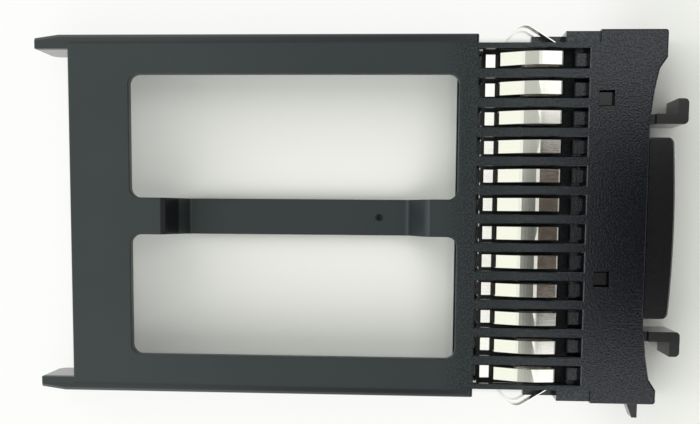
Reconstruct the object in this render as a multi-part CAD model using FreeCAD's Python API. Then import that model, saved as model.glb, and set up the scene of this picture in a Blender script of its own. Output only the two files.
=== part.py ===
# Filler frame for an empty 2.5-inch drive bay: a moulded plastic frame, a stamped contact
# spring round the web of its collar, and a moulded latch insert snapped into its bezel.
# X runs from the rear to the front, Y across the rails, Z up. The origin is midway along the
# part, on the plane between the rails and on the frame's underside. Sizes are millimetres.
import FreeCAD, Part
import os
from math import atan2, cos, pi, sin, tan

# Frame, lengths along X from the rear
tab_length = 7.2          # rails standing out behind the plate
rear_margin = 13.0        # plate behind the windows
window_length = 69.6
window_gap = 3.95         # plate between the windows and the slots
slot_length = 22.65
slot_margin = 2.1         # plate between the slots and the bezel
bezel_length = 13.6       # to the front of the ears
pull_reach = 4.85         # pull tabs in front of the ears

# Frame, widths across Y and heights
rail_span = 76.2
rail_wall = 3.0
plate_inset = 2.0         # plate's edge inside the rail's outer side
window_width = 25.85
bar_width = 7.85
bezel_overhang = 0.7      # bezel's sides outside the rails
bezel_wall = 2.0
frame_height = 12.8
plate_thickness = 1.9
rail_step = 0.4           # rail edges lie this far below the plate's face
window_radius = 2.1       # corners of the windows
plate_chamfer = 0.2       # near edges of the plate's rear end and of its windows
rail_edge_radius = 0.8    # outer near edges of the rails
rail_end_radius = 0.3     # outer front corners of the rails

# Centre bar, which drops to the underside between its two ends
bar_rear_run = 6.5        # flat stretch behind the rear slope
bar_front_run = 5.7       # flat stretch in front of the front slope
bar_rear_slope = 3.3      # lengths of the slopes along X
bar_front_slope = 3.9
bar_rear_bend = 1.6       # bend radii of the rear and the front slope
bar_front_bend = 2.4
gate_diameter = 1.5
gate_depth = 0.5
gate_back = 16.5          # gate mark behind the front end of the windows

# Rails
tab_lead_in = 0.7         # taper at the outer rear end of a rail
tab_lead_length = 5.0
tab_corner_radius = 2.0   # lower rear corner of a rail
bump_height = 0.5         # guide bumps on the outer sides
bump_width = 2.0
bump_count = 4
bump_pitch = 19.55
first_bump = 13.9         # in front of the plate's rear edge

# Collar: two comb plates with a web between them
slot_count = 12
comb_margin = 3.1         # middle of an outer slot inside the plate's edge
slot_width = 4.0
slot_flare = 0.2          # chamfer round the outer edge of a slot
web_thickness = 2.6
web_set_back = 1.05       # rear edge of the web in front of the slots' rear ends
web_inset = 2.6           # sides of the web's rear part inside the rails' outer sides
ledge_start = 11.1        # wide part of the web in front of the slots' rear ends
side_block_start = 17.7   # closed sides in front of the slots' rear ends
side_block_overhang = 0.35  # closed sides outside the rails
side_block_drop = 0.6     # faces of the closed sides below the frame's faces
bulkhead = 2.0            # wall between the collar and the bezel
pedestal_length = 2.7     # stops in front of the finger tips
pedestal_width = 2.6
pedestal_drop = 2.8       # top of a stop below the comb plate's face

# Bezel
ear_depth = 3.1           # middle of the front edge behind the ears
ear_left = 5.6            # widths of the ears on the +Y and -Y sides
ear_right = 3.0
ear_slope = 1.5           # the front edge rises to an ear over this length along X
ear_run = 2.3             # and this length along Y
edge_straight = 35.0      # straight middle stretch of the front edge
ear_corner_radius = 0.6
bezel_edge_radius = 0.4   # near and far edges of the bezel's outline
snap_window = 3.2         # square windows over the snap bosses
snap_window_start = 0.1   # rear side of the windows behind the bezel's start
snap_left = 24.9          # their places across the bezel
snap_right = -12.4

# Contact spring, a stamped strip folded round the web
sheet = 0.2
fold_clearance = 0.05     # between the strip and the faces of the web
finger_width = 2.7
fold_radius = 1.25        # bends of the fold behind the web
root_run = 1.55           # sloped root of a finger in front of the fold, along X and Z
root_rise = 1.2
riser_run = 0.85          # steep riser
riser_rise = 1.35
ramp_run = 6.8            # ramp up to the crest
ramp_rise = 3.3
crest_run = 5.6           # crest down to the tip
crest_fall = 1.0
tip_run = 0.45            # curled tip
tip_fall = 0.75
return_run = 0.55         # leg that returns under the crest: drop behind the tip, then its length
return_drop = 2.9
leg_run = 7.9
leg_drop = 0.55
crest_bend = 9.0          # bend radii; the other bends are sharp creases
tip_bend = 0.4
side_root = 3.4           # side fingers: flat root, ramp out, slope in and tip
side_ramp_run = 4.8
side_ramp_rise = 5.0
side_slope_run = 6.7
side_slope_fall = 4.25
side_tip_run = 0.4
side_tip_fall = 0.5
side_crest_bend = 2.4
side_slit_start = 4.2     # slit between the two side fingers, in front of the spine

# Latch insert
insert_shift = -1.85      # the insert sits off the middle of the bezel
insert_clearance = 0.2    # above the insert, which lies on the far wall of the bezel
tongue_width = 37.7
tongue_reach = 2.75       # tongue in front of the ears, at its middle
tongue_crown = 0.7        # sides of the tongue's front behind its middle
tongue_corner_radius = 1.3
tongue_chamfer = 0.35     # near and far edges of the tongue
tongue_drop = 0.8         # faces of the tongue below the frame's faces
stem_width = 24.0
arm_inner = 21.6          # inner side of a pull arm from the insert's middle
arm_thickness = 2.1
hook_thickness = 2.1      # turned end of a pull arm
hook_reach = 3.15         # turned end out of the arm
hook_radius = 0.9         # outer corners of the turned end
arm_drop = 1.2            # edges of the arms below the frame's faces
beam_thickness = 1.8      # flexing beam at the back of the insert
beam_front = 5.1          # front of the beam in front of the bezel's start
beam_end_gap = 3.8        # ends of the beam inside the bezel's walls, from the insert's middle
link_thickness = 2.0      # bends the beam forward at its ends
cross_arm = 2.2           # front arm from a link to the barb
cross_arm_front = 10.2    # front of the cross arm in front of the bezel's start
barb_base = 2.9
barb_tip = 1.1
barb_front = 10.8         # front of the barbs in front of the bezel's start
barb_height = 4.2
barb_slot_gap = 0.4       # round a barb in the bezel's side
boss_drop = 1.5           # snap bosses below the near face
boss_gap = 0.3            # round a boss in its window

# Stations and levels that follow from them
overall_length = (tab_length + rear_margin + window_length + window_gap + slot_length
                  + slot_margin + bezel_length + pull_reach)
plate_span = rail_span - 2 * plate_inset
slot_pitch = (plate_span - 2 * comb_margin) / (slot_count - 1)
bezel_span = rail_span + 2 * bezel_overhang
web_span = rail_span - 2 * web_inset
side_block_span = rail_span + 2 * side_block_overhang
beam_half = bezel_span / 2 - bezel_wall - beam_end_gap
# the barb on the +Y side ends flush with the bezel, and the shift brings the other one out
barb_reach = bezel_span / 2 - insert_shift
x_tab = -overall_length / 2
x_plate = x_tab + tab_length
x_window = x_plate + rear_margin
x_collar = x_window + window_length
x_slot = x_collar + window_gap
x_slot_end = x_slot + slot_length
x_bezel = x_slot_end + slot_margin
x_ear = x_bezel + bezel_length
x_pull = x_ear + pull_reach
x_edge = x_ear - ear_depth
x_spine = x_slot + web_set_back - sheet / 2
x_cavity = x_slot_end + bulkhead
z_mid = frame_height / 2
fold_half = web_thickness / 2 + fold_clearance + sheet / 2
z_plate = frame_height - plate_thickness
# a bump is the part of a round post that stands out of the rail
bump_radius = bump_width ** 2 / 8 / bump_height + bump_height / 2
tiny = 1e-6               # for finding edges by their place
slot_places = [(i - (slot_count - 1) / 2) * slot_pitch for i in range(slot_count)]


def vec(x, y, z=0.0):
    return FreeCAD.Vector(x, y, z)


def block(x0, x1, y0, y1, z0, z1):
    return Part.makeBox(x1 - x0, y1 - y0, z1 - z0, vec(x0, y0, z0))


def fuse(shapes):
    return shapes[0].multiFuse(shapes[1:]).removeSplitter()


def both_faces(shape):
    """The shape and its copy mirrored in the plane at mid height."""
    return [shape, shape.mirror(vec(0, 0, z_mid), vec(0, 0, 1))]


def prism(points, z0, z1):
    """Upright prism over a closed outline of (x, y) points."""
    ring = [vec(x, y, z0) for x, y in points]
    return Part.Face(Part.makePolygon(ring + ring[:1])).extrude(vec(0, 0, z1 - z0))


def rounded_block(x0, x1, y0, y1, z0, z1, radius):
    """Block whose upright edges are rounded."""
    body = block(x0, x1, y0, y1, z0, z1)
    upright = [e for e in body.Edges if e.BoundBox.ZLength > tiny]
    return body.makeFillet(radius, upright)


def strip_section(corners, bends, thickness):
    """Closed section of a bent strip: its middle line runs through the corners, which are
    rounded by the bend radii or, where that is zero, creased."""
    def heading(a, b):
        return atan2(b[1] - a[1], b[0] - a[0])

    def beside(point, angle, side):
        return vec(point[0] - sin(angle) * side, point[1] + cos(angle) * side)

    angles = [heading(a, b) for a, b in zip(corners, corners[1:])]
    sides = []
    for side in (thickness / 2, -thickness / 2):
        edges = []
        last = beside(corners[0], angles[0], side)
        for (x, y), bend, a, b in zip(corners[1:-1], bends, angles, angles[1:]):
            turn = (b - a + pi) % (2 * pi) - pi
            if bend == 0:
                corner = beside((x, y), a + turn / 2, side / cos(turn / 2))
                edges.append(Part.LineSegment(last, corner).toShape())
                last = corner
                continue
            reach = bend * tan(abs(turn) / 2)
            to_centre = pi / 2 if turn > 0 else -pi / 2
            start = (x - cos(a) * reach, y - sin(a) * reach)
            centre = (start[0] + cos(a + to_centre) * bend, start[1] + sin(a + to_centre) * bend)
            middle = a + turn / 2
            radius = bend - side if turn > 0 else bend + side
            top = vec(centre[0] + cos(middle - to_centre) * radius,
                      centre[1] + sin(middle - to_centre) * radius)
            end = (x + cos(b) * reach, y + sin(b) * reach)
            arc_start, arc_end = beside(start, a, side), beside(end, b, side)
            edges.append(Part.LineSegment(last, arc_start).toShape())
            edges.append(Part.Arc(arc_start, top, arc_end).toShape())
            last = arc_end
        edges.append(Part.LineSegment(last, beside(corners[-1], angles[-1], side)).toShape())
        sides.append(edges)
    first, second = sides
    caps = [Part.LineSegment(first[0].Vertexes[0].Point, second[0].Vertexes[0].Point).toShape(),
            Part.LineSegment(first[-1].Vertexes[-1].Point, second[-1].Vertexes[-1].Point).toShape()]
    return Part.Face(Part.Wire(Part.__sortEdges__(first + second + caps)))


def upright_strip(corners, bends, thickness, y, width):
    """Bent strip whose section lies in the XZ plane, centred on y."""
    face = strip_section(corners, bends, thickness)
    face.rotate(vec(0, 0), vec(1, 0), 90)
    face.translate(vec(0, y + width / 2))
    return face.extrude(vec(0, -width, 0))


def make_plate():
    """Near plate from its rear edge to the bezel, with both windows."""
    half = plate_span / 2
    plate = block(x_plate, x_bezel, -half, half, z_plate, frame_height)
    for side in (1, -1):
        inner, outer = side * bar_width / 2, side * (bar_width / 2 + window_width)
        low, high = min(inner, outer), max(inner, outer)
        window = rounded_block(x_window, x_collar, low, high, z_plate, frame_height, window_radius)
        plate = plate.cut(window)
    # the bar's flat ends stay, and its middle is open for the dropped stretch
    middle = block(x_window + bar_rear_run, x_collar - bar_front_run,
                   -bar_width / 2, bar_width / 2, z_plate, frame_height)
    near = [e for e in plate.Edges
            if e.BoundBox.ZMin > frame_height - tiny and e.BoundBox.XMax < x_collar + tiny]
    return plate.makeChamfer(plate_chamfer, near).cut(middle)


def make_bar():
    """Centre bar: it leaves the plate, slopes down and runs along the underside."""
    level, foot = frame_height - plate_thickness / 2, plate_thickness / 2
    rear, front = x_window + bar_rear_run, x_collar - bar_front_run
    corners = [(x_window, level), (rear, level), (rear + bar_rear_slope, foot),
               (front - bar_front_slope, foot), (front, level), (x_collar, level)]
    bends = [bar_rear_bend] * 2 + [bar_front_bend] * 2
    bar = upright_strip(corners, bends, plate_thickness, 0, bar_width)
    gate = Part.makeCylinder(gate_diameter / 2, gate_depth,
                             vec(x_collar - gate_back, 0, plate_thickness - gate_depth))
    return bar.cut(gate)


def make_rail(side):
    """Side rail: a full-height wall with a lead-in at its rear end and guide bumps."""
    outer, inner = rail_span / 2, rail_span / 2 - rail_wall
    top = frame_height - rail_step
    plan = [(x_tab, inner), (x_slot, inner), (x_slot, outer), (x_tab + tab_lead_length, outer),
            (x_tab, outer - tab_lead_in)]
    rail = prism([(x, side * y) for x, y in plan], 0, top)
    front = [e for e in rail.Edges if e.BoundBox.XMin > x_slot - tiny and e.BoundBox.ZLength > tiny
             and min(abs(e.BoundBox.YMin), abs(e.BoundBox.YMax)) > inner + tiny]
    rail = rail.makeFillet(rail_end_radius, front)
    rear_foot = [e for e in rail.Edges if e.BoundBox.XMax < x_tab + tiny and e.BoundBox.ZMax < tiny]
    rail = rail.makeFillet(tab_corner_radius, rear_foot)
    near = [e for e in rail.Edges
            if e.BoundBox.ZMin > top - tiny and e.BoundBox.XLength > tab_lead_length - tiny
            and min(abs(e.BoundBox.YMin), abs(e.BoundBox.YMax)) > inner + tiny]
    rail = rail.makeFillet(rail_edge_radius, near)
    bumps = []
    axis = side * (outer + bump_height - bump_radius)
    for i in range(bump_count):
        x = x_plate + first_bump + i * bump_pitch
        bumps.append(Part.makeCylinder(bump_radius, z_mid, vec(x, axis)))
    return fuse([rail] + bumps)


def make_collar():
    """Far comb plate, web, closed sides, bulkhead and the stops in the slots."""
    half, wide = plate_span / 2, side_block_span / 2
    far_plate = block(x_collar, x_bezel, -half, half, 0, plate_thickness)
    low, high = z_mid - web_thickness / 2, z_mid + web_thickness / 2
    x_web = x_slot + web_set_back
    web = block(x_web, x_bezel, -web_span / 2, web_span / 2, low, high)
    rear = [e for e in web.Edges if e.BoundBox.XMax < x_web + tiny and e.BoundBox.YLength > tiny]
    web = web.makeFillet(fold_radius - sheet / 2 - fold_clearance, rear)
    ledge = block(x_slot + ledge_start, x_bezel, -rail_span / 2, rail_span / 2, low, high)
    wall = block(x_slot_end, x_bezel, -half, half, 0, frame_height)
    parts = [far_plate, web, ledge, wall]
    for side in (1, -1):
        edges = sorted((side * wide, side * (rail_span / 2 - rail_wall)))
        parts.append(block(x_slot + side_block_start, x_bezel, edges[0], edges[1],
                           side_block_drop, frame_height - side_block_drop))
    for y in slot_places:
        stop = block(x_slot_end - pedestal_length, x_slot_end,
                     y - pedestal_width / 2, y + pedestal_width / 2,
                     high, frame_height - pedestal_drop)
        parts += both_faces(stop)
    return parts


def cut_slots(body):
    """Comb slots through the near and the far plate."""
    slots = []
    for y in slot_places:
        slot = block(x_slot, x_slot_end, y - slot_width / 2, y + slot_width / 2, z_plate, frame_height)
        rims = []
        for grow in (0, slot_flare):
            corner = vec(x_slot - grow, y - slot_width / 2 - grow, frame_height - slot_flare + grow)
            rim = Part.makePlane(slot_length + 2 * grow, slot_width + 2 * grow, corner)
            rims.append(rim.OuterWire)
        slots += both_faces(slot) + both_faces(Part.makeLoft(rims, True, True))
    return body.cut(slots)


def bezel_outline():
    """Plan of the bezel: straight sides, two ears and a hollowed front edge between them."""
    half, middle = bezel_span / 2, edge_straight / 2
    ends = []
    for side, ear in ((1, ear_left), (-1, ear_right)):
        tip, foot = half - ear, half - ear - ear_run
        x_foot = x_ear - ear_slope
        third = (foot - middle) / 2
        sag = (x_foot - x_edge) / 4
        ends.append((vec(x_ear, side * tip), vec(x_foot, side * foot),
                     vec(x_edge + sag, side * (middle + third)), vec(x_edge, side * middle)))
    (tip_a, foot_a, mid_a, flat_a), (tip_b, foot_b, mid_b, flat_b) = ends
    corners = [vec(x_bezel, half), vec(x_ear, half), vec(x_ear, -half), vec(x_bezel, -half)]
    edges = [Part.LineSegment(corners[0], corners[1]), Part.LineSegment(corners[1], tip_a),
             Part.LineSegment(tip_a, foot_a), Part.Arc(foot_a, mid_a, flat_a),
             Part.LineSegment(flat_a, flat_b), Part.Arc(flat_b, mid_b, foot_b),
             Part.LineSegment(foot_b, tip_b), Part.LineSegment(tip_b, corners[2]),
             Part.LineSegment(corners[2], corners[3]), Part.LineSegment(corners[3], corners[0])]
    return Part.Face(Part.Wire([e.toShape() for e in edges]))


def make_bezel():
    """Bezel before it is hollowed, with the outer corners of its ears rounded."""
    half = bezel_span / 2
    bezel = bezel_outline().extrude(vec(0, 0, frame_height))
    ears = [e for e in bezel.Edges
            if e.BoundBox.ZLength > frame_height / 2 and abs(e.BoundBox.XMin - x_ear) < tiny
            and max(abs(e.BoundBox.YMin), abs(e.BoundBox.YMax)) > half - tiny]
    bezel = bezel.makeFillet(ear_corner_radius, ears)
    rims = [e for e in bezel.Edges if e.BoundBox.ZLength < tiny and e.BoundBox.XMax > x_bezel + tiny]
    return bezel.makeFillet(bezel_edge_radius, rims)


def bezel_cuts():
    """Hollow of the bezel, its snap windows and its barb slots."""
    inner = bezel_span / 2 - bezel_wall
    cuts = [block(x_cavity, x_ear, -inner, inner, plate_thickness, z_plate)]
    x_snap = x_bezel - snap_window_start
    for y in (snap_left, snap_right):
        cuts.append(block(x_snap, x_snap + snap_window, y - snap_window / 2, y + snap_window / 2,
                          z_plate, frame_height))
    x_barb = x_bezel + barb_front
    tall = barb_height / 2 + barb_slot_gap
    cuts.append(block(x_barb - barb_base - barb_slot_gap, x_barb + barb_slot_gap,
                      -bezel_span / 2, bezel_span / 2, z_mid - tall, z_mid + tall))
    return cuts


def make_frame():
    body = fuse([make_plate(), make_bar(), make_rail(1), make_rail(-1), make_bezel()] + make_collar())
    return cut_slots(body.cut(bezel_cuts()))


def walk(start, steps):
    """Corners of a line that leaves the start and takes the steps one after the other."""
    corners = [start]
    for run, rise in steps:
        x, y = corners[-1]
        corners.append((x + run, y + rise))
    return corners


def finger_pair(y):
    """Strip of one slot, from the leg under the near crest back round the web to the far leg."""
    steps = ((root_run, root_rise), (riser_run, riser_rise), (ramp_run, ramp_rise),
             (crest_run, -crest_fall), (tip_run, -tip_fall), (-return_run, -return_drop),
             (-leg_run, -leg_drop))
    near = walk((x_spine + fold_radius, z_mid + fold_half), steps)[1:]
    far = [(x, 2 * z_mid - z) for x, z in near]
    fold = [(x_spine, z_mid + fold_half), (x_spine, z_mid - fold_half)]
    bends = [0, 0, crest_bend, tip_bend, 0, 0]
    return upright_strip(near[::-1] + fold + far, bends[::-1] + [fold_radius] * 2 + bends,
                         sheet, y, finger_width)


def side_fingers(side):
    """Side sheet and its two fingers: the sheet leaves the spine's end and slopes outwards."""
    corners = walk((x_spine - sheet / 2, web_span / 2 + fold_clearance + sheet / 2),
                   ((side_root, 0), (side_ramp_run, side_ramp_rise), (side_slope_run, -side_slope_fall),
                    (side_tip_run, -side_tip_fall)))
    strip = strip_section(corners, [0, side_crest_bend, tip_bend], sheet)
    tall = slot_pitch + finger_width
    strip.translate(vec(0, 0, z_mid - tall / 2))
    body = strip.extrude(vec(0, 0, tall))
    gap = (slot_pitch - finger_width) / 2
    slit = block(x_spine + side_slit_start, x_slot_end, 0, bezel_span, z_mid - gap, z_mid + gap)
    body = body.cut(slit)
    return body if side > 0 else body.mirror(vec(0, 0, 0), vec(0, 1, 0))


def make_spring():
    """Strips folded round the web's rear edge, the spine that joins them and the side fingers."""
    wide, tall = web_span / 2 + fold_clearance + sheet, fold_half - fold_radius
    spine = block(x_spine - sheet / 2, x_spine + sheet / 2, -wide, wide, z_mid - tall, z_mid + tall)
    return fuse([spine, side_fingers(1), side_fingers(-1)] + [finger_pair(y) for y in slot_places])


def make_tongue(low, high):
    """Pull tongue: its front is crowned and has rounded corners."""
    half, front = tongue_width / 2, x_ear + tongue_reach
    start = x_edge + insert_clearance
    a, b = vec(front - tongue_crown, half), vec(front - tongue_crown, -half)
    edges = [Part.LineSegment(vec(start, -half), vec(start, half)),
             Part.LineSegment(vec(start, half), a),
             Part.Arc(a, vec(front, 0), b), Part.LineSegment(b, vec(start, -half))]
    plan = Part.Face(Part.Wire([e.toShape() for e in edges]))
    tongue = plan.extrude(vec(0, 0, frame_height - 2 * tongue_drop))
    tongue.translate(vec(0, 0, tongue_drop))
    corners = [e for e in tongue.Edges
               if e.BoundBox.ZLength > frame_height / 2 and e.BoundBox.XMin > start + tiny]
    tongue = tongue.makeFillet(tongue_corner_radius, corners)
    rims = [e for e in tongue.Edges if e.BoundBox.ZLength < tiny and e.BoundBox.XMax > start + tiny]
    tongue = tongue.makeChamfer(tongue_chamfer, rims)
    stem = block(x_bezel + beam_front - beam_thickness, start,
                 -stem_width / 2, stem_width / 2, low, high)
    return [tongue, stem]


def make_arm(side, low, high):
    """Half of the latch: flexing beam, link, cross arm with its barb, and the pull arm."""
    def piece(x0, x1, y0, y1, z0, z1):
        y0, y1 = sorted((side * y0, side * y1))
        return block(x0, x1, y0, y1, z0, z1)

    x_beam = x_bezel + beam_front
    x_cross = x_bezel + cross_arm_front
    x_barb = x_bezel + barb_front
    arm_outer = arm_inner + arm_thickness
    beam = piece(x_beam - beam_thickness, x_beam, 0, beam_half, low, high)
    link = piece(x_beam - beam_thickness, x_cross, beam_half - link_thickness, beam_half, low, high)
    cross = piece(x_cross - cross_arm, x_cross, arm_inner, beam_half, low, high)
    neck = piece(x_cross - cross_arm, x_edge + ear_slope, arm_inner, arm_outer, low, high)
    hook_end = arm_outer + hook_reach
    plan = [(x_edge + ear_slope, arm_inner), (x_pull, arm_inner), (x_pull, hook_end),
            (x_pull - hook_thickness, hook_end), (x_pull - hook_thickness, arm_outer),
            (x_edge + ear_slope, arm_outer)]
    arm = prism([(x, side * y) for x, y in plan], arm_drop, frame_height - arm_drop)
    front = [e for e in arm.Edges if e.BoundBox.XMin > x_pull - tiny and e.BoundBox.ZLength > tiny
             and e.BoundBox.YLength < tiny]
    arm = arm.makeFillet(hook_radius, front)
    barb_plan = [(x_barb - barb_base, beam_half - link_thickness), (x_barb, beam_half - link_thickness),
                 (x_barb, barb_reach), (x_barb - barb_tip, barb_reach),
                 (x_barb - barb_base, rail_span / 2 - bezel_wall)]
    barb = prism([(x, side * y) for x, y in barb_plan], z_mid - barb_height / 2, z_mid + barb_height / 2)
    return [beam, link, cross, neck, arm, barb]


def snap_boss(y, low, high):
    """Arm on the back of the beam whose boss snaps into a window of the bezel."""
    wide = snap_window / 2 - boss_gap
    middle = y - insert_shift
    x_snap = x_bezel - snap_window_start
    arm = block(x_snap + boss_gap, x_bezel + beam_front, middle - wide, middle + wide, low, high)
    boss = block(x_snap + boss_gap, x_snap + snap_window - boss_gap, middle - wide, middle + wide,
                 high, frame_height - boss_drop)
    return [arm, boss]


def make_insert():
    low, high = plate_thickness, z_plate - insert_clearance
    pieces = make_tongue(low, high) + make_arm(1, low, high) + make_arm(-1, low, high)
    for y in (snap_left, snap_right):
        pieces += snap_boss(y, low, high)
    insert = fuse(pieces)
    insert.translate(vec(0, insert_shift, 0))
    return insert


os.makedirs("parts", exist_ok=True)
makers = {"frame": make_frame, "contact_spring": make_spring, "latch_insert": make_insert}
for name, make in makers.items():
    shape = make()
    shape.exportStep("parts/%s.step" % name)
    box = shape.BoundBox
    print(name, "solids", len(shape.Solids), "valid", shape.isValid(), "volume %.1f" % shape.Volume)
    print("x %.2f %.2f" % (box.XMin, box.XMax), "y %.2f %.2f" % (box.YMin, box.YMax),
          "z %.2f %.2f" % (box.ZMin, box.ZMax))
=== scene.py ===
import bmesh
import bpy
from math import radians
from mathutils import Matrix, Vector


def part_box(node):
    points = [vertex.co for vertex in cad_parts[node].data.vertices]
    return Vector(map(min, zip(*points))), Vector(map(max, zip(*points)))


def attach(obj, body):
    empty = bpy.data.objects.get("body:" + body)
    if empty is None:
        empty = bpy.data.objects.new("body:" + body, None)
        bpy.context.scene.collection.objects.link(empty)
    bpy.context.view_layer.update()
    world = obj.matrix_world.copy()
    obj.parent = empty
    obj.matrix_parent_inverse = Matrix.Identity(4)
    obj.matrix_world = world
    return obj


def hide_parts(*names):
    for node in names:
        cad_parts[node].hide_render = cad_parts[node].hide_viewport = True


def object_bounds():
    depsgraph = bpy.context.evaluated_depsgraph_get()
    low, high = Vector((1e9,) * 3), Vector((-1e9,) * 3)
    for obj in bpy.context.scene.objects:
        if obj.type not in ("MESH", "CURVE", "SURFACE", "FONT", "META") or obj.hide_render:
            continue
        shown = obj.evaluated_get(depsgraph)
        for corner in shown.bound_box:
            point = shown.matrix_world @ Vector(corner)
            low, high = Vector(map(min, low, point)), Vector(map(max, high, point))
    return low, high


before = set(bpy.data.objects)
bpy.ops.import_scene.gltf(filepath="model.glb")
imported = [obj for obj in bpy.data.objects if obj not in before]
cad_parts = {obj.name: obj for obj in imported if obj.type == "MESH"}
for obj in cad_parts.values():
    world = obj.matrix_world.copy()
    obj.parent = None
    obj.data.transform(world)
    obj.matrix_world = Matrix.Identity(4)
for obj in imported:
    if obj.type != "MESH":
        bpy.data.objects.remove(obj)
cad_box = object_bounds()

# Frame
# One injection moulding in black plastic. The mould is spark-eroded, coarsely on the collar and
# the bezel and finely on the plate, and the edges of the rails are polished.


def new_material(name):
    """A material and its node tree, which is still empty."""
    material = bpy.data.materials.new(name)
    material.use_nodes = True
    tree = material.node_tree
    tree.nodes.clear()
    return material, tree


def add(tree, kind, settings=None, **sockets):
    """Adds a node. Sockets go by name or by count (n0, n1), and take a constant or another output."""
    node = tree.nodes.new(kind)
    for key, value in (settings or {}).items():
        setattr(node, key, value)
    for key, value in sockets.items():
        counted = key[0] == "n" and key[1:].isdigit()
        socket = node.inputs[int(key[1:]) if counted else key.replace("_", " ")]
        if isinstance(value, bpy.types.NodeSocket):
            tree.links.new(value, socket)
        else:
            socket.default_value = value
    return node


def noise(tree, where, scale, detail=2.0, roughness=0.5):
    node = add(tree, "ShaderNodeTexNoise", Vector=where, Scale=scale, Detail=detail, Roughness=roughness)
    return node.outputs["Fac"]


def maths(tree, operation, a, b=0.0):
    return add(tree, "ShaderNodeMath", {"operation": operation}, n0=a, n1=b).outputs[0]


def all_of(tree, mask, *others):
    """Product of the masks: one only where all of them are one."""
    for other in others:
        mask = maths(tree, "MULTIPLY", mask, other)
    return mask


def ramp(tree, value, low, high, out_low=0.0, out_high=1.0, smooth=True):
    """Goes from out_low to out_high as the value goes from low to high, and no further."""
    kind = {"interpolation_type": "SMOOTHSTEP" if smooth else "LINEAR"}
    node = add(tree, "ShaderNodeMapRange", kind, n0=value, n1=low, n2=high, n3=out_low, n4=out_high)
    return node.outputs["Result"]


def above(tree, value, limit, soft):
    """One above the limit and zero below it, with a soft edge."""
    return ramp(tree, value, limit - soft, limit + soft)


def below(tree, value, limit, soft):
    return ramp(tree, value, limit + soft, limit - soft)


def between(tree, value, low, high, soft):
    return all_of(tree, above(tree, value, low, soft), below(tree, value, high, soft))


def blend(tree, factor, a, b):
    """Colour that goes from a to b with the factor."""
    return add(tree, "ShaderNodeMix", {"data_type": "RGBA"}, n0=factor, n6=a, n7=b).outputs[2]


def grey(level):
    return (level, level, level, 1)


def object_place(tree):
    """Object coordinates and their three parts."""
    place = add(tree, "ShaderNodeTexCoord").outputs["Object"]
    parts = add(tree, "ShaderNodeSeparateXYZ", Vector=place).outputs
    return place, parts["X"], parts["Y"], parts["Z"]


def surface(tree, **sockets):
    shader = add(tree, "ShaderNodeBsdfPrincipled", **sockets)
    add(tree, "ShaderNodeOutputMaterial", Surface=shader.outputs[0])


def dress(node, material):
    """The CAD node shows this material all over."""
    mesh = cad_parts[node].data
    mesh.materials.clear()
    mesh.materials.append(material)


frame_low, frame_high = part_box("frame")
ear_front = frame_high.x
near_face = frame_high.z
edge_soft = 0.0001                        # a finish changes this sharply at an edge
plate_rear = frame_low.x + 0.0085         # painted light: the plate's colour is lighter here and darkens to the collar
collar_start = ear_front - 0.0436         # fine grain turns to coarse about here
collar_soft = 0.004
collar_dark = ear_front - 0.0336          # painted shade: the collar's colour darkens from here on into the bezel
bezel_dark = ear_front - 0.0116
dull_end = ear_front - 0.0456             # the plate is dull up to here, the collar glossy from there
gloss_start = ear_front - 0.0276
rail_inside = frame_high.y - 0.0023       # the rails' edges lie beside the plate and below its face
rail_edge = near_face - 0.0002
rail_front = ear_front - 0.0139
rail_front_soft = 0.00025
rail_inner_face = frame_high.y - 0.0042
plate_underside = near_face - 0.0020
inside_soft = 0.0002
inside_rear = ear_front - 0.0381          # the inside of the collar, coloured darker as painted shade
inside_front = ear_front - 0.0181
inside_depth = 0.0025                     # below either face
inside_reach = frame_high.y - 0.0033
slope_rear = frame_low.x + 0.0268         # the rear slope of the centre bar, coloured darker as painted shade
slope_front = frame_low.x + 0.0293
slope_top = near_face - 0.0004
bar_half = 0.0041
gate_place = ear_front - 0.059165         # the scar of the moulding gate on the centre bar
gate_radius = 0.0008
gate_top = 0.00235
gate_soft = 0.00015

grained, tree = new_material("grained_plastic")
place, x, y, z = object_place(tree)
side = maths(tree, "ABSOLUTE", y)
collar = above(tree, x, collar_start, collar_soft)
rail = all_of(tree, above(tree, side, rail_inside, edge_soft), below(tree, z, rail_edge, edge_soft),
              below(tree, x, rail_front, rail_front_soft))
rail_face = all_of(tree, above(tree, side, rail_inner_face, edge_soft),
                   below(tree, z, plate_underside, edge_soft))
inside = all_of(tree, between(tree, x, inside_rear, inside_front, inside_soft),
                between(tree, z, frame_low.z + inside_depth, near_face - inside_depth, inside_soft),
                below(tree, side, inside_reach, edge_soft))
slope = all_of(tree, between(tree, x, slope_rear, slope_front, inside_soft),
               below(tree, side, bar_half, edge_soft), below(tree, z, slope_top, inside_soft))
gate_x = maths(tree, "POWER", maths(tree, "SUBTRACT", x, gate_place), 2.0)
from_gate = maths(tree, "SQRT", maths(tree, "ADD", gate_x, maths(tree, "POWER", y, 2.0)))
gate = all_of(tree, below(tree, from_gate, gate_radius, edge_soft), below(tree, z, gate_top, gate_soft))

grain_depth = 0.000014
plate_grain = 0.25                        # shares of the collar's grain
rail_grain = 0.12
fine_share = 0.1
noise_mean = 0.5
coarse = noise(tree, place, scale=2900.0, detail=0.5)
fine = noise(tree, place, scale=6500.0, detail=0.0)
mottle = noise(tree, place, scale=60.0)
grain = maths(tree, "MULTIPLY", maths(tree, "SUBTRACT", coarse, noise_mean),
              ramp(tree, collar, 0.0, 1.0, plate_grain, 1.0))
fine_grain = maths(tree, "MULTIPLY", maths(tree, "SUBTRACT", fine, noise_mean), fine_share)
height = maths(tree, "MULTIPLY", maths(tree, "ADD", grain, fine_grain),
               ramp(tree, rail, 0.0, 1.0, 1.0, rail_grain))
bump = add(tree, "ShaderNodeBump", Strength=1.0, Distance=grain_depth, Height=height).outputs[0]

# Painted light: the plate is coloured lighter at the rear and darker at the front, for the brighter light
# on the rear.
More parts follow.
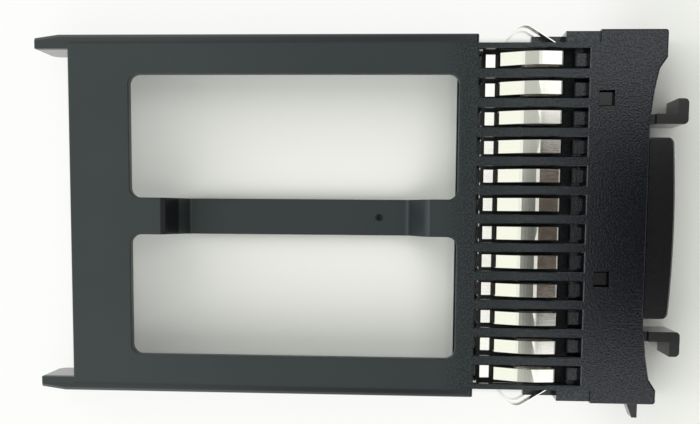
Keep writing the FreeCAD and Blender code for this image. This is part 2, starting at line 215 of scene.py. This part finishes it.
lit_rear_plastic = (0.029, 0.038, 0.037, 1)
shaded_front_plastic = (0.017, 0.023, 0.026, 1)
dark_plastic = (0.006, 0.010, 0.011, 1)
# painted shade: darker colour for the bezel, standing in for the shade over it
shaded_bezel_plastic = (0.003, 0.0036, 0.0062, 1)
# painted shade: darker colour for the inside of the collar
shaded_inside_plastic = (0.006, 0.006, 0.0062, 1)
# painted shade: darker colour for the bar's rear slope, which faces away from the light
shaded_slope_plastic = (0.006, 0.006, 0.008, 1)
gate_scar = (0.001, 0.001, 0.001, 1)
# Painted light: the rails are coloured lighter at the rear and darker at the front, for the same reason.
lit_rear_rail = (0.038, 0.043, 0.045, 1)
shaded_front_rail = (0.007, 0.010, 0.011, 1)
mottle_spread = 0.2, 0.8                  # noise over a spread gives the shades in the next line
mottle_shade = 0.0, 0.15
speckle_spread = 0.35, 0.65
speckle_shade = 0.7, 1.3
# painted light: ramp from the lighter rear colour to the darker front colour
plate_light_ramp = ramp(tree, x, plate_rear, collar_start)
plate_colour = blend(tree, plate_light_ramp, lit_rear_plastic, shaded_front_plastic)
plate_colour = blend(tree, ramp(tree, mottle, *mottle_spread, *mottle_shade), plate_colour, dark_plastic)
# painted shade: the collar's colour darkens into the bezel
collar_colour = blend(tree, ramp(tree, x, collar_dark, bezel_dark), dark_plastic, shaded_bezel_plastic)
speckle = ramp(tree, coarse, *speckle_spread, *speckle_shade)
speckled = add(tree, "ShaderNodeVectorMath", {"operation": "SCALE"}, n0=collar_colour, Scale=speckle)
colour = blend(tree, collar, plate_colour, speckled.outputs[0])
# painted shade: the inside of the collar is coloured darker
colour = blend(tree, inside, colour, shaded_inside_plastic)
# painted shade: the rear slope of the centre bar is coloured darker
colour = blend(tree, slope, colour, shaded_slope_plastic)
colour = blend(tree, gate, colour, gate_scar)
# painted light: the rails take the same rear-to-front ramp
colour = blend(tree, rail, colour, blend(tree, plate_light_ramp, lit_rear_rail, shaded_front_rail))

plate_rough = 0.46
collar_rough = 0.13
polished_rough = 0.12
inside_rough = 0.7
slope_rough = 0.2
rough = ramp(tree, x, dull_end, gloss_start, plate_rough, collar_rough)
rough = blend(tree, maths(tree, "MAXIMUM", rail, rail_face), rough, grey(polished_rough))
rough = blend(tree, maths(tree, "MAXIMUM", inside, gate), rough, grey(inside_rough))
rough = blend(tree, slope, rough, grey(slope_rough))

pit_spread = 0.36, 0.64
pit_gleam = (0.50, 0.53, 0.58, 1)
peak_gleam = (0.84, 0.88, 0.93, 1)
plate_gleam = (0.66, 0.69, 0.73, 1)
collar_gleam = blend(tree, ramp(tree, coarse, *pit_spread), pit_gleam, peak_gleam)
gleam = blend(tree, collar, plate_gleam, collar_gleam)
surface(tree, Base_Color=colour, Roughness=rough, Normal=bump, Specular_Tint=gleam, Specular_IOR_Level=0.7)
dress("frame", grained)

# Contact spring
# Thin stainless strip, stamped to fingers, rolled bright and folded round the web. The root of each
# finger lies flat along the web, and a steep riser lifts the finger into its slot.
rolling_stretch = (300.0, 9000.0, 3000.0)  # the marks of the rollers run along X
line_spread = 0.3, 0.7
line_rough = 0.08, 0.14
dark_steel = (0.74, 0.73, 0.69, 1)
bright_steel = (0.82, 0.81, 0.78, 1)
line_depth = 0.00002
steel, tree = new_material("spring_steel")
place, x, y, z = object_place(tree)
along = add(tree, "ShaderNodeMapping", n0=place, n3=rolling_stretch).outputs[0]
lines = noise(tree, along, scale=1.0, detail=3.0, roughness=0.6)
rough = ramp(tree, lines, *line_spread, *line_rough)
tint = blend(tree, lines, dark_steel, bright_steel)
bump = add(tree, "ShaderNodeBump", Strength=0.08, Distance=line_depth, Height=lines).outputs[0]
surface(tree, Base_Color=tint, Metallic=1.0, Roughness=rough, Normal=bump)

# Painted shade: the folds round the web's rear edge get a dark, dull, non-metal finish in place of the
# shade and dark reflections they lie in.
dark_fold_shade = (0.012, 0.012, 0.012, 1)
pale_fold_shade = (0.03, 0.03, 0.028, 1)
fold_shade, tree = new_material("fold_shade_steel")
place, x, y, z = object_place(tree)
fold_shade_mottle = noise(tree, place, scale=4000.0)
tint = blend(tree, fold_shade_mottle, dark_fold_shade, pale_fold_shade)
surface(tree, Base_Color=tint, Roughness=0.6, Specular_IOR_Level=0.2)

strip_low, strip_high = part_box("contact_spring")
mid_height = (strip_low.z + strip_high.z) / 2
weld = 0.000001                           # corners closer than this are one
crease_place = strip_low.x + 0.0028       # crease between a root and its riser
crease_reach = 0.00265                    # out from mid height, before the root is laid flat
crease_spread = 0.0002                    # takes in both faces of the strip
root_drop = 0.00091                       # the crease goes down to the web and a little back
root_stretch = -0.00005
comb_side = frame_high.y - 0.0036         # the side fingers stand further out than this
fold_end = strip_low.x + 0.001            # the folds round the web's rear edge get a dark painted shade
fold_steep, fold_flat = -0.99, -0.42      # slopes of a fold's faces, by their normals along X
smooth_turn = radians(20)

body = bmesh.new()
body.from_mesh(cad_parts["contact_spring"].data)
bmesh.ops.remove_doubles(body, verts=body.verts, dist=weld)
comb = [corner for corner in body.verts if abs(corner.co.y) < comb_side]
creases = [corner for corner in comb if abs(corner.co.x - crease_place) < crease_spread]
for outwards in (1, -1):
    crease = [corner for corner in creases
              if abs((corner.co.z - mid_height) * outwards - crease_reach) < crease_spread]
    bmesh.ops.translate(body, verts=crease, vec=(root_stretch, 0, -outwards * root_drop))
body.normal_update()
for face in body.faces:
    middle = face.calc_center_median()
    # painted shade: these fold faces take the dark finish
    fold = fold_steep < face.normal.x < fold_flat and middle.x < fold_end and abs(middle.y) < comb_side
    face.material_index = int(fold)
    face.smooth = True
strip = bpy.data.meshes.new("spring_strip")
for finish in (steel, fold_shade):
    strip.materials.append(finish)
body.to_mesh(strip)
body.free()
strip.set_sharp_from_angle(angle=smooth_turn)
spring = bpy.data.objects.new("spring_strip", strip)
bpy.context.collection.objects.link(spring)
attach(spring, "root")
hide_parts("contact_spring")
dress("contact_spring", steel)

# Latch insert
# One moulding in smooth black plastic: the tongue, the pinch tabs and the barbs on a bending beam.
# It is pushed into the bezel from the front and held by two bosses that snap into small windows.
dark_insert = (0.0042, 0.0047, 0.0066, 1)
pale_insert = (0.0062, 0.0067, 0.0088, 1)
insert_depth = 0.00001
insert_spread = 0.3, 0.7
insert_rough = 0.12, 0.17
smooth, tree = new_material("smooth_plastic")
place, x, y, z = object_place(tree)
fine = noise(tree, place, scale=5200.0)
mottle = noise(tree, place, scale=90.0)
colour = blend(tree, mottle, dark_insert, pale_insert)
bump = add(tree, "ShaderNodeBump", Strength=0.2, Distance=insert_depth, Height=fine).outputs[0]
rough = ramp(tree, fine, *insert_spread, *insert_rough)
surface(tree, Base_Color=colour, Roughness=rough, Normal=bump)
dress("latch_insert", smooth)

# Floor
# Sheet of white paper that the part lies on. Round the part it is lifted to white for the camera and
# for reflections; in the windows and in front of the tongue it keeps its shadows.
floor_level = cad_box[0].z
floor_reach = 3.0
paper_colour = (0.80, 0.80, 0.78, 1)
paper_white = (1.0, 1.0, 0.985, 1)
lift = 0.85
lift_side = frame_high.y - 0.0003         # the lift starts outside the rails and behind the plate
lift_side_soft = 0.001
lift_rear = frame_low.x + 0.004
lift_rear_soft = 0.0025
lift_front = ear_front - 0.0011           # and fades out towards the front
lift_front_soft = 0.0175
paper, tree = new_material("paper")
path = add(tree, "ShaderNodeLightPath").outputs
seen = maths(tree, "MAXIMUM", path["Is Camera Ray"], path["Is Glossy Ray"])
seen = maths(tree, "MAXIMUM", seen, path["Is Transmission Ray"])
colour = blend(tree, seen, paper_colour, paper_white)
place, x, y, z = object_place(tree)
beside = above(tree, maths(tree, "ABSOLUTE", y), lift_side, lift_side_soft)
around = maths(tree, "MAXIMUM", beside, below(tree, x, lift_rear, lift_rear_soft))
white = all_of(tree, seen, around, below(tree, x, lift_front, lift_front_soft), lift)
matt = add(tree, "ShaderNodeBsdfDiffuse", Color=colour, Roughness=0.9)
lit = add(tree, "ShaderNodeEmission", Color=paper_white, Strength=1.0)
both = add(tree, "ShaderNodeMixShader", n0=white, n1=matt.outputs[0], n2=lit.outputs[0])
add(tree, "ShaderNodeOutputMaterial", Surface=both.outputs[0])

sheet = bmesh.new()
bmesh.ops.create_grid(sheet, x_segments=1, y_segments=1, size=floor_reach)
bmesh.ops.translate(sheet, verts=sheet.verts, vec=(0, 0, floor_level))
floor_mesh = bpy.data.meshes.new("floor")
floor_mesh.materials.append(paper)
sheet.to_mesh(floor_mesh)
sheet.free()
floor = bpy.data.objects.new("floor", floor_mesh)
bpy.context.collection.objects.link(floor)

# Light
# A bright room: most of its light comes from the left and from the near side. Overhead it is greyer,
# and something dark hangs over the middle and the front of the part.
left_light = (2.55, 2.61, 2.53, 1)
right_light = (0.38, 0.385, 0.37, 1)
left_to_right = -0.75, 0.55               # where the first light turns to the second
far_light = (0.80, 0.82, 0.80, 1)
far_share = 0.4
near_to_far = -0.8, 0.8
dark_corner = (0.08, 0.08, 0.075, 1)      # far corner on the right
corner_from_left = -0.10, 0.40
corner_from_near = -0.05, 0.35
high_wall = (1.20, 1.23, 1.10, 1)
ceiling = (0.68, 0.70, 0.64, 1)
shade_left = (0.32, 0.325, 0.30, 1)       # dark thing over the middle, darkest on its right
shade_right = (0.13, 0.135, 0.125, 1)
shade_turn = -0.85, -0.05
bright_gap = (1.50, 1.51, 1.46, 1)        # narrow gap beside it
front_shade = (0.32, 0.32, 0.31, 1)       # dark thing over the front, with a paler rim
front_dark = (0.07, 0.052, 0.038, 1)
horizon = (0.95, 0.95, 0.94, 1)
horizon_rise = 0.16, 0.06
lowest = 0.05                             # keeps the lean of level directions finite
world = bpy.data.worlds.new("room")
bpy.context.scene.world = world
world.use_nodes = True
tree = world.node_tree
tree.nodes.clear()
towards = add(tree, "ShaderNodeTexCoord").outputs["Generated"]
dx, dy, dz = add(tree, "ShaderNodeSeparateXYZ", Vector=towards).outputs
upwards = maths(tree, "MAXIMUM", dz, lowest)
lean_x = maths(tree, "DIVIDE", dx, upwards)
lean_y = maths(tree, "DIVIDE", dy, upwards)


def patch(left, right, near, far, soft):
    """Part of the sky, by how far its directions lean from straight up along X and Y."""
    return all_of(tree, between(tree, lean_x, left, right, soft), between(tree, lean_y, near, far, soft))


glow = blend(tree, ramp(tree, dx, *left_to_right, smooth=False), left_light, right_light)
far_glow = blend(tree, far_share, glow, far_light)
glow = blend(tree, ramp(tree, dy, *near_to_far, smooth=False), glow, far_glow)
corner = all_of(tree, ramp(tree, dx, *corner_from_left), ramp(tree, dy, *corner_from_near))
glow = blend(tree, corner, glow, dark_corner)
glow = blend(tree, patch(left=-1.60, right=-0.85, near=-0.55, far=0.55, soft=0.08), glow, high_wall)
glow = blend(tree, patch(left=-0.85, right=0.08, near=-0.60, far=0.60, soft=0.09), glow, ceiling)
shade = blend(tree, ramp(tree, lean_x, *shade_turn), shade_left, shade_right)
glow = blend(tree, patch(left=-0.83, right=0.07, near=-0.15, far=0.055, soft=0.05), glow, shade)
glow = blend(tree, patch(left=0.085, right=0.70, near=-0.60, far=0.60, soft=0.03), glow, bright_gap)
glow = blend(tree, patch(left=0.140, right=0.70, near=-0.14, far=0.10, soft=0.03), glow, front_shade)
glow = blend(tree, patch(left=0.168, right=0.70, near=-0.12, far=0.085, soft=0.015), glow, front_dark)
glow = blend(tree, ramp(tree, dz, *horizon_rise), glow, horizon)
back = add(tree, "ShaderNodeBackground", Color=glow, Strength=1.0)
add(tree, "ShaderNodeOutputWorld", Surface=back.outputs[0])

# Camera
# Held over the part and tipped a little to its left and near side. The lens is as wide as a phone's,
# and it is shifted because the picture is a crop that isn't centred on the lens.
focal_share = 1000.0 / 700.0              # focal length over the picture's width
camera_place = (0.0124188, 0.001252, 0.224234)
camera_tilt = (-5.7141, 3.4818, 0.4542)
lens = bpy.data.cameras.new("camera")
lens.sensor_width = 36.0
lens.lens = lens.sensor_width * focal_share
lens.shift_x = -0.00498
lens.shift_y = 0.14314
lens.clip_start = 0.01
camera = bpy.data.objects.new("camera", lens)
bpy.context.collection.objects.link(camera)
camera.location = camera_place
camera.rotation_euler = [radians(angle) for angle in camera_tilt]
bpy.context.scene.camera = camera
bpy.context.scene.view_settings.view_transform = "Standard"
